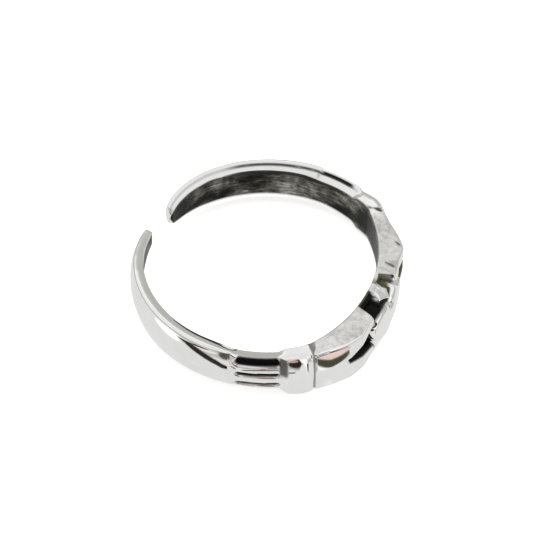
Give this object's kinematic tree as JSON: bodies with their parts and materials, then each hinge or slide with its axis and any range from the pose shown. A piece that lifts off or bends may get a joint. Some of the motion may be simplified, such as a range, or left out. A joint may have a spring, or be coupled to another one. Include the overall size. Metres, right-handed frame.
{
  "type": "toe ring",
  "caption": "Open, adjustable cast toe ring: cuffed hands hold a crowned heart, with grooves beside each cuff and a domed shank that narrows to its ends.",
  "frame": {"origin": "on the axis of the round inside, at mid-height of the plain shank", "axes": "+Z along the axis of the ring, on the crown's side; +X to the middle of the heart; the gap near -X"},
  "size_m": [0.0167, 0.0178, 0.0033],
  "materials": {
    "silver": "polished sterling silver, oxidised black in the recesses and dark inside"
  },
  "bodies": {
    "root": {"ring": "silver"}
  },
  "joints": []
}
